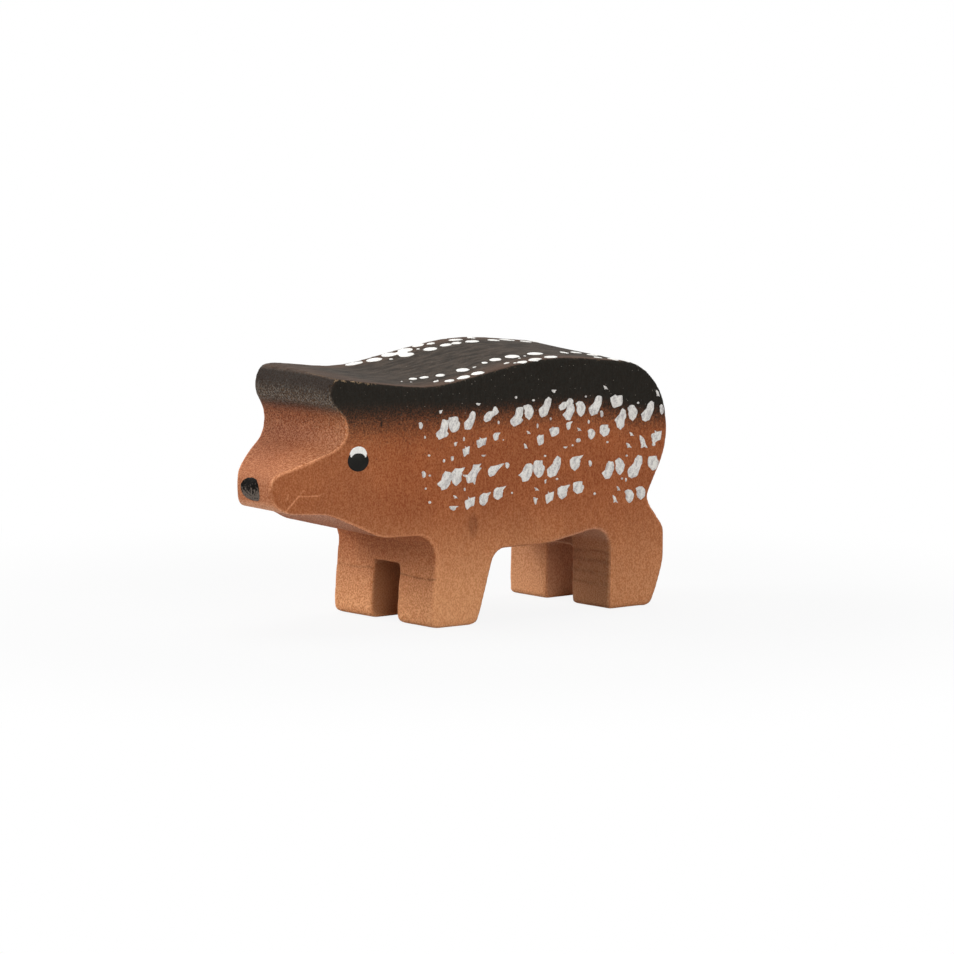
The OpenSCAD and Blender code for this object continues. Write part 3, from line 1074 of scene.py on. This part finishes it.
@dataclass(frozen=True)
class Dab:
    """One touch of the brush: its place on the drawing, its size, its outline and its lean in degrees."""

    along: float
    up: float
    width: float
    length: float
    touch: Touch = Touch.ROUND
    lean: float = 0.0


@dataclass
class PaintedMarks:
    """A group of dabs that lie on one face of the wood and stand for one solid."""

    name: str
    node: str
    facing: Facing
    dabs: Sequence[Dab]
    seed: int
    level: float
    flip: bool = False
    ragged: float = 0.05
    corners: int = 9
    rings: Sequence[float] = (0.86,)
    film: float = 0.07
    edge_share: float = 0.3
    spread: float = 1.0
    curve_steps: int = 3
    tension: float = 0.25
    crease_deg: float = 60.0
    middle: list[int] = field(default_factory=list, init=False)
    piece: bpy.types.Object | None = field(default=None, init=False)

    def build(self, ground: bpy.types.Object) -> bpy.types.Object:
        """Draw the dabs, lay them on the wood and give them their film of paint.

        Args:
            ground: the body that carries the paint.

        Returns:
            The painted marks.
        """
        chance = random.Random(self.seed)
        bpy.ops.object.select_all(action="DESELECT")
        for dab in self.dabs:
            outline = self._outline(dab, chance)
            bpy.ops.mesh.primitive_circle_add(vertices=len(outline), radius=MM, fill_type="NGON")
            if self.piece is None:
                self.piece = bpy.context.view_layer.objects.active
                self.piece.name = self.name
                bpy.ops.object.mode_set(mode="EDIT")
                bpy.ops.mesh.select_all(action="SELECT")
            self._draw(dab, outline)
        bpy.ops.object.mode_set(mode="OBJECT")
        self._swell()
        self.piece.data.transform(self._stand())
        self._lay(ground)
        return self.piece

    def dress(self, material: bpy.types.Material, slot: str) -> None:
        """Colour the marks and let them stand for their solid."""
        finish_piece(self.piece, material, [self.node])

    def _draw(self, dab: Dab, outline: Sequence[Point]) -> None:
        """Pull the selected round into the outline of one dab, with rings inside it and a raised middle."""
        centre = Vector((dab.along, dab.up, 0.0)) * MM
        drawing = bmesh.from_edit_mesh(self.piece.data)
        ring = [vertex for vertex in drawing.verts if vertex.select]
        for vertex, (along, up) in zip(ring, reversed(outline)):
            vertex.co = Vector((along, up, 0.0)) * MM
        bmesh.update_edit_mesh(self.piece.data)
        outer = 1.0
        for share in self.rings:
            bpy.ops.mesh.inset(thickness=0.0, depth=0.0)
            drawing = bmesh.from_edit_mesh(self.piece.data)
            for vertex in drawing.verts:
                if vertex.select:
                    vertex.co = centre + (vertex.co - centre) * (share / outer)
            bmesh.update_edit_mesh(self.piece.data)
            outer = share
        bpy.ops.mesh.poke()
        drawing = bmesh.from_edit_mesh(self.piece.data)
        self.middle += [vertex.index for vertex in drawing.verts if vertex.select]

    def _outline(self, dab: Dab, chance: random.Random) -> list[Point]:
        """Work out the edge of a dab from its outline's corners, with a little unevenness of its own.

        Args:
            dab: its place, size, outline and lean.
            chance: the source of its unevenness.

        Returns:
            Its points in the drawing, in millimetres.
        """
        corners = dab.touch.value or self._circle(chance)
        uneven = [Vector(self._shake(corner, chance)) for corner in corners]
        lean = Matrix.Rotation(math.radians(-dab.lean), 2)
        points = []
        for index, corner in enumerate(uneven):
            around = [uneven[(index + step) % len(uneven)] for step in (-1, 0, 1, 2)]
            for step in range(self.curve_steps):
                spot = Vector(self._shake(self._curve(around, step / self.curve_steps), chance))
                spot = lean @ Vector((spot.x * dab.width / 2, spot.y * dab.length / 2)) * self.spread
                points.append((dab.along + spot.x, dab.up + spot.y))
        return points

    def _curve(self, around: Sequence[Vector], share: float) -> Vector:
        """A point on the smooth curve from the second to the third of four corners."""
        before, start, end, after = around
        leave, arrive = (end - before) * self.tension, (after - start) * self.tension
        rise = share * share * (3 - 2 * share)
        spot = start.lerp(end, rise)
        spot += leave * share * (1 - share) ** 2
        return spot - arrive * share * share * (1 - share)

    def _circle(self, chance: random.Random) -> list[Point]:
        """The corners of a round."""
        start = chance.uniform(0, math.tau)
        turns = [start - math.tau * index / self.corners for index in range(self.corners)]
        return [(math.cos(turn), math.sin(turn)) for turn in turns]

    def _shake(self, corner: Sequence[float], chance: random.Random) -> Point:
        """Move a corner in or out a little."""
        reach = 1 + chance.uniform(-self.ragged, self.ragged)
        return corner[0] * reach, corner[1] * reach

    def _swell(self) -> None:
        """Note which points stand thick, so that the film thins towards each rim."""
        thick = self.piece.vertex_groups.new(name="thick")
        thick.add(range(len(self.piece.data.vertices)), self.edge_share, "REPLACE")
        thick.add(self.middle, 1.0, "REPLACE")

    def _stand(self) -> Matrix:
        """The turn and shift from the flat drawing to the face it belongs on."""
        flip = Matrix.Scale(-1 if self.flip else 1, 4, (0, 1, 0))
        if self.facing is Facing.TOP:
            return flip @ Matrix.Translation((0, 0, self.level * MM))
        if self.facing is Facing.SIDE:
            stand = Matrix(((1, 0, 0, 0), (0, 0, -1, 0), (0, 1, 0, 0), (0, 0, 0, 1)))
            return flip @ Matrix.Translation((0, -self.level * MM, 0)) @ stand
        stand = Matrix(((0, 0, -1, 0), (-1, 0, 0, 0), (0, 1, 0, 0), (0, 0, 0, 1)))
        return Matrix.Translation((-self.level * MM, 0, 0)) @ stand

    def _lay(self, ground: bpy.types.Object) -> None:
        """Lay the flat drawing on the wood and thicken it outwards."""
        only(self.piece)
        bpy.ops.object.mode_set(mode="EDIT")
        bpy.ops.mesh.select_all(action="SELECT")
        if self.flip:
            bpy.ops.mesh.flip_normals()
        bpy.ops.object.mode_set(mode="OBJECT")
        apply_modifier(
            self.piece, "SHRINKWRAP", target=ground, wrap_method="PROJECT",
            use_negative_direction=True, use_positive_direction=True, **{self.facing.value: True},
        )
        apply_modifier(self.piece, "SHRINKWRAP", target=ground, wrap_method="NEAREST_SURFACEPOINT")
        apply_modifier(
            self.piece, "SOLIDIFY", thickness=self.film * MM, offset=1.0, vertex_group="thick",
            thickness_vertex_group=0.0,
        )
        only(self.piece)
        bpy.ops.object.shade_smooth_by_angle(angle=math.radians(self.crease_deg))


def dabs(*rows: Sequence[Any]) -> list[Dab]:
    """Turn rows of along, up, width, length and, where it isn't round, outline into dabs."""
    return [Dab(*row) for row in rows]


FLANK_ROWS: list[list[Dab]] = [
    dabs(
        (-8.0, 26.8, 2.2, 2.7, Touch.LOBE), (-5.9, 27.3, 2.0, 2.2, Touch.SHIELD),
        (-3.3, 27.7, 2.0, 2.6, Touch.LEAF), (0.4, 28.3, 2.6, 2.0, Touch.BONE),
        (4.7, 27.7, 2.3, 2.6, Touch.LOBE), (6.8, 28.2, 1.8, 2.2, Touch.EGG),
        (9.6, 28.6, 2.2, 2.7, Touch.LEAF), (13.3, 28.8, 2.6, 1.6, Touch.BONE),
        (13.7, 27.7, 2.1, 2.4, Touch.SLUG), (15.8, 28.0, 1.8, 2.3, Touch.EGG),
        (18.4, 28.3, 2.3, 2.8, Touch.LEAF), (22.1, 28.6, 2.2, 1.9, Touch.PATCH),
        (22.8, 26.1, 2.1, 3.1, Touch.TALL), (24.9, 26.8, 1.8, 2.3, Touch.EGG),
        (27.6, 26.8, 2.3, 2.9, Touch.LEAF), (30.1, 26.9, 0.8, 1.5, Touch.EGG),
        (-11.6, 27.6, 0.7, 1.0, Touch.EGG), (-8.2, 29.2, 0.6, 0.5, Touch.TOOTH),
        (-1.8, 29.8, 0.9, 0.4, Touch.WEDGE), (4.6, 30.3, 0.4, 0.4), (7.6, 29.7, 0.5, 0.3),
        (1.6, 27.1, 0.3, 0.5), (11.2, 30.7, 0.9, 0.5, Touch.WEDGE), (16.7, 29.6, 0.4, 0.3),
        (20.2, 30.6, 0.8, 0.6, Touch.SLIVER), (29.4, 29.2, 0.7, 1.0, Touch.SLIVER),
        (19.5, 27.0, 0.6, 1.0, Touch.EGG), (25.9, 28.1, 0.4, 0.3), (-10.9, 26.0, 0.3, 0.4),
    ),
    dabs(
        (-3.9, 23.6, 1.2, 1.5, Touch.CROWN), (-1.3, 24.6, 1.8, 1.5, Touch.CROWN),
        (1.3, 25.2, 1.4, 1.2, Touch.TOOTH), (8.8, 24.2, 1.2, 1.6, Touch.PATCH),
        (11.2, 25.2, 1.7, 1.4, Touch.PATCH), (13.8, 25.8, 1.2, 1.2, Touch.TOOTH),
        (17.7, 24.4, 1.4, 1.5, Touch.EGG), (20.1, 24.7, 1.8, 1.7, Touch.SHIELD),
        (26.9, 22.7, 1.5, 2.0, Touch.SLIVER), (29.2, 23.2, 1.9, 1.9, Touch.CROWN),
        (28.7, 22.2, 0.6, 0.5), (6.3, 23.6, 0.7, 0.8, Touch.SLIVER), (24.3, 22.4, 1.0, 0.8, Touch.SLIVER),
        (24.8, 23.9, 0.8, 0.6, Touch.SLIVER), (15.4, 23.7, 0.9, 0.6), (15.6, 25.2, 0.8, 0.5, Touch.SLIVER),
        (-5.7, 24.7, 0.6, 0.6, Touch.TOOTH), (-4.3, 25.3, 0.3, 0.6), (-6.3, 22.8, 0.5, 0.7, Touch.PATCH),
        (-7.7, 22.6, 0.4, 0.5), (-10.2, 23.5, 0.4, 0.3), (-0.9, 22.8, 0.9, 0.3, Touch.WEDGE),
        (6.8, 25.4, 0.7, 0.5, Touch.SLIVER), (8.3, 26.2, 0.3, 0.7), (10.6, 27.0, 0.3, 0.4),
        (17.2, 26.1, 0.3, 0.6), (13.2, 22.9, 0.8, 0.3, Touch.WEDGE), (20.5, 23.1, 0.4, 0.3),
        (9.6, 22.0, 0.4, 0.3), (14.4, 23.1, 0.3, 0.3), (2.4, 24.7, 0.2, 0.2),
    ),
    dabs(
        (-7.6, 19.9, 2.5, 2.6, Touch.SLUG), (-5.3, 20.3, 2.5, 2.4, Touch.HORN),
        (-2.6, 20.4, 2.8, 2.8, Touch.FLAG), (1.2, 20.7, 2.9, 1.7, Touch.DROP),
        (3.1, 21.2, 0.8, 0.9, Touch.EGG), (6.3, 20.0, 2.6, 2.5, Touch.SLUG),
        (8.6, 20.3, 2.0, 2.4, Touch.SHIELD), (11.2, 20.4, 2.6, 2.9, Touch.LEAF),
        (15.1, 20.6, 2.4, 2.1, Touch.HORN), (20.6, 19.2, 2.2, 2.6, Touch.SLUG),
        (22.7, 19.6, 1.8, 2.4, Touch.EGG), (25.4, 19.4, 2.6, 3.1, Touch.LEAF),
        (28.7, 19.6, 2.0, 2.1, Touch.SHIELD), (-4.0, 20.3, 1.0, 0.4, Touch.WEDGE),
        (17.5, 20.4, 0.6, 0.9, Touch.EGG), (-11.1, 21.0, 0.7, 1.0, Touch.EGG), (-10.1, 20.8, 0.4, 0.3),
        (-4.2, 18.5, 0.3, 0.5), (9.7, 18.5, 0.4, 0.6, Touch.TOOTH), (11.7, 18.7, 0.4, 0.3),
        (23.8, 17.7, 0.3, 0.6), (23.1, 17.9, 0.4, 0.3), (23.9, 21.0, 0.4, 0.3), (-10.8, 19.1, 0.3, 0.3),
    ),
    dabs(
        (-6.0, 16.1, 1.6, 0.7, Touch.WEDGE), (-3.3, 16.6, 1.8, 1.8, Touch.CROWN),
        (-0.7, 16.9, 2.1, 1.8, Touch.HORN), (1.8, 17.5, 2.2, 1.9, Touch.HORN),
        (8.0, 16.0, 0.8, 1.1, Touch.WEDGE), (10.4, 16.3, 1.6, 1.8, Touch.CROWN),
        (12.9, 16.8, 2.3, 2.0, Touch.HORN), (15.5, 17.2, 2.0, 1.8, Touch.SHIELD),
        (21.9, 15.2, 0.9, 1.2, Touch.SLIVER), (24.4, 15.4, 1.6, 2.0, Touch.EGG),
        (26.4, 15.7, 1.8, 2.0, Touch.EGG), (-5.7, 17.6, 0.8, 0.5, Touch.SLIVER),
        (8.2, 17.6, 0.8, 0.5, Touch.SLIVER), (22.5, 16.6, 0.6, 0.7, Touch.SLIVER),
        (-10.1, 17.2, 0.5, 0.4), (3.9, 17.4, 0.3, 0.3), (18.3, 16.2, 0.4, 0.4),
    ),
]

# Dots on the back: along x, the distance from the middle as a negative number, width, length.
BACK_NEAR: list[Dab] = dabs(
    (-8.0, -4.7, 1.1, 1.2), (-6.5, -5.2, 1.3, 1.1), (-4.5, -6.1, 1.2, 1.4),
    (-1.0, -6.5, 1.7, 1.9), (3.1, -6.1, 0.7, 1.0), (5.1, -6.0, 1.6, 1.7),
    (7.7, -6.3, 1.8, 2.2), (11.5, -6.5, 2.2, 2.0), (17.8, -5.0, 1.1, 1.6),
    (21.0, -3.6, 1.7, 1.5), (24.0, -4.4, 1.8, 1.5), (-7.0, -8.4, 0.8, 0.6),
    (-5.7, -9.6, 1.4, 1.2), (-3.4, -9.8, 2.0, 1.5), (-1.0, -9.8, 1.9, 1.5),
    (4.6, -9.0, 0.9, 0.5), (5.3, -9.9, 0.5, 0.4), (6.3, -10.2, 1.5, 1.2),
    (8.5, -10.2, 2.1, 1.3), (11.6, -9.8, 2.0, 1.5), (20.7, -8.7, 1.2, 1.2),
    (22.8, -9.3, 1.5, 1.3), (24.4, -10.3, 1.3, 0.9), (22.4, -10.4, 1.1, 0.5), (26.0, -10.4, 1.0, 0.5),
    (27.6, -10.4, 0.5, 0.4), (22.2, -5.6, 1.7, 1.3), (7.6, -8.0, 0.3, 0.4),
    (9.0, -7.4, 0.3, 0.4), (-6.5, -8.1, 0.3, 0.3), (-9.8, -6.6, 0.25, 0.3),
    (-10.6, -5.6, 0.25, 0.3), (0.8, -6.8, 0.6, 0.3),
)
BACK_FAR: list[Dab] = dabs(
    (-7.2, -9.6, 2.9, 1.5), (-4.1, -9.0, 2.2, 2.0), (-1.3, -9.4, 2.1, 2.1),
    (0.1, -7.2, 2.2, 2.0), (1.5, -9.4, 2.2, 1.9), (0.2, -8.6, 1.8, 1.9),
    (4.2, -10.0, 1.9, 1.4), (3.8, -6.8, 1.9, 1.9), (5.9, -9.3, 1.2, 1.0),
    (6.6, -6.9, 1.8, 1.4), (8.3, -6.7, 1.5, 1.3), (9.8, -8.9, 2.2, 1.3),
    (10.9, -6.6, 2.1, 1.6), (15.1, -7.1, 1.9, 1.5), (18.6, -8.6, 2.6, 1.2),
    (21.6, -8.2, 1.7, 1.4), (-2.6, -7.2, 0.5, 0.6), (2.9, -8.3, 0.5, 0.4),
    (13.0, -9.4, 1.3, 1.1), (24.0, -9.3, 1.5, 1.1),
)


# The studio.

@dataclass(frozen=True)
class Lamp:
    """A square lamp that faces the animal: its place, its side and its power in watts."""

    name: str
    place: Triple
    size: float
    watts: float


@dataclass
class Studio:
    """The pale floor, the soft lamps and the camera that stands where the photograph was taken."""

    camera_turn: float = 37.86
    camera_rise: float = 8.09
    camera_far: float = 916.7
    aim_right: float = 5.2
    aim_up: float = 18.66
    lens: float = 254.4
    sensor: float = 36.0
    near_clip: float = 10.0
    floor_size: float = 8000.0
    floor_drop: float = 0.05
    floor_grey: Colour = (0.6, 0.6, 0.6)
    # How far the floor glows for the camera by the animal, and the distances over which that becomes all.
    floor_glow: float = 0.89
    glow_reach: Span = (50.0, 110.0)
    # The card's and the dim room's brightness, and how far a direction points to the card.
    card: float = 0.9
    room: float = 0.12
    card_span: Span = (-0.2, 0.8)
    # A window-like lamp ahead, on the animal's right, a weaker one on the camera's side and one overhead.
    lamps: tuple[Lamp, ...] = (
        Lamp("window", (-420.0, 420.0, 330.0), 350.0, 3.0), Lamp("fill", (-150.0, -620.0, 350.0), 450.0, 2.7),
        Lamp("overhead", (60.0, 80.0, 700.0), 500.0, 2.0),
    )
    lamp_aim: Triple = (0.0, 0.0, 18.0)

    def build(self) -> None:
        """Set up floor, world, lamps and camera."""
        self._floor()
        self._world()
        for lamp in self.lamps:
            self._hang(lamp)
        self._camera()

    def _axes(self) -> tuple[Vector, Vector, Vector]:
        """The camera's right, up and backward directions."""
        turn = math.radians(self.camera_turn)
        rise = math.radians(self.camera_rise)
        right = Vector((math.cos(turn), -math.sin(turn), 0))
        back = Vector((-math.sin(turn) * math.cos(rise), -math.cos(turn) * math.cos(rise), math.sin(rise)))
        return right, back.cross(right), back

    def _camera(self) -> None:
        """Place the camera on the photograph's line of sight and turn it to the frame's middle."""
        right, up, back = self._axes()
        stand = back * self.camera_far * MM
        aim = (right * self.aim_right + up * self.aim_up) * MM
        data = bpy.data.cameras.new("camera")
        data.lens = self.lens
        data.sensor_width = self.sensor
        data.clip_start = self.near_clip * MM
        camera = bpy.data.objects.new("camera", data)
        bpy.context.scene.collection.objects.link(camera)
        camera.location = stand
        camera.rotation_euler = (aim - stand).to_track_quat("-Z", "Y").to_euler()
        bpy.context.scene.camera = camera

    def _floor(self) -> None:
        """Lay a white floor that keeps a soft shadow."""
        bpy.ops.object.select_all(action="DESELECT")
        bpy.ops.mesh.primitive_plane_add(size=self.floor_size * MM, location=(0, 0, -self.floor_drop * MM))
        floor = bpy.context.view_layer.objects.active
        floor.name = "floor"
        made = bpy.data.materials.new("pale_floor")
        made.use_nodes = True
        sheet = Sheet(made.node_tree)
        seen = sheet.out("ShaderNodeLightPath", output="Is Camera Ray")
        away = sheet.vector("LENGTH", {0: sheet.place()}, "Value")
        lit = sheet.out("ShaderNodeBsdfDiffuse", None, {"Color": self.floor_grey})
        glow = sheet.out("ShaderNodeEmission", None, {"Color": WHITE, "Strength": 1.0})
        share = seen * (self.floor_glow + away.ease(*self.glow_reach) * (1 - self.floor_glow))
        shader = sheet.out("ShaderNodeMixShader", None, {0: share, 1: lit, 2: glow})
        sheet.add("ShaderNodeOutputMaterial", None, {"Surface": shader})
        floor.data.materials.append(made)

    def _world(self) -> None:
        """Stand white card behind the table and leave the camera's side of the room dim."""
        world = bpy.data.worlds.new("white_card")
        world.use_nodes = True
        sheet = Sheet(world.node_tree)
        seen = sheet.out("ShaderNodeLightPath", output="Is Camera Ray")
        turn = math.radians(self.camera_turn)
        way = sheet.out("ShaderNodeTexCoord", output="Generated")
        card = (math.sin(turn), math.cos(turn), 0.0)
        behind = sheet.vector("DOT_PRODUCT", {0: way, 1: card}, "Value").ease(*self.card_span)
        strength = sheet.math("MAXIMUM", seen, self.room + behind * (self.card - self.room))
        shine = sheet.out("ShaderNodeBackground", None, {"Color": WHITE, "Strength": strength})
        sheet.add("ShaderNodeOutputWorld", None, {"Surface": shine})
        bpy.context.scene.world = world

    def _hang(self, lamp: Lamp) -> None:
        """Hang one lamp and turn it to the animal."""
        data = bpy.data.lights.new(lamp.name, "AREA")
        data.size = lamp.size * MM
        data.energy = lamp.watts
        hung = bpy.data.objects.new(lamp.name, data)
        bpy.context.scene.collection.objects.link(hung)
        hung.location = Vector(lamp.place) * MM
        aim = (Vector(self.lamp_aim) - Vector(lamp.place)) * MM
        hung.rotation_euler = aim.to_track_quat("-Z", "Y").to_euler()


def flank_marks(flank: Flank) -> list[PaintedMarks]:
    """Plan the four rows of dabs on one flank."""
    right = flank is Flank.RIGHT
    return [
        PaintedMarks(
            name=f"{flank.word}_flank_dabs_{row}", node=f"{flank.word}_dab_row_{row}", facing=Facing.SIDE,
            dabs=FLANK_ROWS[row - 1], seed=10 * row + right, level=11.3, flip=right,
            spread=0.96, film=0.1, edge_share=0.45,
        )
        for row in (1, 2, 3, 4)
    ]


def back_marks(flank: Flank) -> PaintedMarks:
    """Plan the dots along one edge of the back."""
    right = flank is Flank.RIGHT
    return PaintedMarks(
        name=f"back_dots_along_{flank.word}", node=f"back_dots_{flank.word}", facing=Facing.TOP,
        dabs=BACK_FAR if right else BACK_NEAR, seed=70 + right, level=40.0, flip=right,
        ragged=0.06, corners=11,
    )


def eye_marks(flank: Flank) -> tuple[PaintedMarks, PaintedMarks]:
    """Plan the white crescent and the black of one eye."""
    right = flank is Flank.RIGHT
    white = PaintedMarks(
        name=f"{flank.word}_eye_white", node=f"eye_white_{flank.word}", facing=Facing.SIDE,
        dabs=dabs((-21.12, 24.25, 2.3, 2.3)), seed=81, level=12.0, flip=right, ragged=0.01,
        corners=20, film=0.08,
    )
    black = PaintedMarks(
        name=f"{flank.word}_eye_black", node=f"eye_{flank.word}", facing=Facing.SIDE,
        dabs=dabs((-21.15, 23.45, 2.8, 2.8)), seed=82, level=12.0, flip=right, ragged=0.008,
        corners=22, rings=(0.85, 0.5), film=0.16,
    )
    return white, black


def nose_mark() -> PaintedMarks:
    """Plan the black dot on the front of the snout."""
    return PaintedMarks(
        name="snout_dot", node="nose_dot", facing=Facing.FRONT,
        dabs=dabs((-0.85, 19.45, 4.1, 3.1, Touch.SNOUT)), seed=91, level=33.0, ragged=0.02,
        rings=(0.9, 0.7, 0.5, 0.3), film=0.1,
    )


def main() -> None:
    """Build the piglet, its paint and the studio."""
    logging.basicConfig(level=logging.INFO, format="%(name)s: %(message)s")
    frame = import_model()
    bpy.context.scene.view_settings.view_transform = "Standard"

    wood = WoodenBody()
    wood.build(frame["nodes"]["wooden_body"])
    wood.dress(StainedWood().material())

    dab_white, dot_white = DAB_WHITE.material(), DOT_WHITE.material()
    eye_black = EYE_BLACK.material()
    for flank in Flank:
        for marks in flank_marks(flank):
            marks.build(wood.piece)
            marks.dress(dab_white, "white_paint")
        dots = back_marks(flank)
        crescent, pupil = eye_marks(flank)
        for marks in (dots, crescent):
            marks.build(wood.piece)
            marks.dress(dot_white, "white_paint")
        pupil.build(wood.piece)
        pupil.dress(eye_black, "black_paint")
    snout = nose_mark()
    snout.build(wood.piece)
    snout.dress(NOSE_BLACK.material(), "black_paint")

    Studio().build()


if __name__ == "__main__":
    main()
